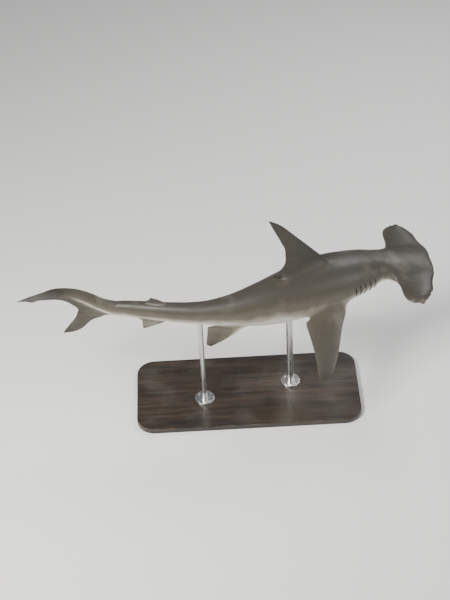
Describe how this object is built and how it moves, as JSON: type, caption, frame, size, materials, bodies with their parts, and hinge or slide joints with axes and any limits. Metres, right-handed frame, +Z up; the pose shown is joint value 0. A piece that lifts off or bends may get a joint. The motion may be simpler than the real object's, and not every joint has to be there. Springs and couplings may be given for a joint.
{
  "type": "scalloped hammerhead shark",
  "caption": "Life-size scalloped hammerhead shark in a swimming pose, with a wide flat hammer-shaped head, tall dorsal fin and long upper tail lobe, held on a plain display stand.",
  "frame": {"origin": "on the floor, under the middle of the box round the whole model", "axes": "+Z up, +X the way the shark swims (head end), +Y to the shark's left"},
  "size_m": [2.2126, 0.9246, 1.2006],
  "materials": {
    "skin": "satin, grey-brown above and pale below",
    "eye": "wet gloss, pale gold with a dark upright pupil",
    "teeth": "gloss ivory",
    "stand_board": "satin black lacquer over wood",
    "stand_steel": "brushed"
  },
  "bodies": {
    "root": {"head": "skin", "gill_region": "skin", "trunk": "skin", "rear_trunk": "skin", "tail_stock": "skin", "caudal_fin_upper_lobe": "skin", "caudal_fin_lower_lobe": "skin", "dorsal_fin_first": "skin", "dorsal_fin_second": "skin", "anal_fin": "skin", "pectoral_fin_left": "skin", "pectoral_fin_right": "skin", "pelvic_fin_left": "skin", "pelvic_fin_right": "skin", "eye_left": "eye", "eye_right": "eye", "stand_base": "stand_board", "stand_rod_front": "stand_steel", "stand_rod_rear": "stand_steel", "stand_flange_front": "stand_steel", "stand_flange_rear": "stand_steel"}
  },
  "joints": []
}
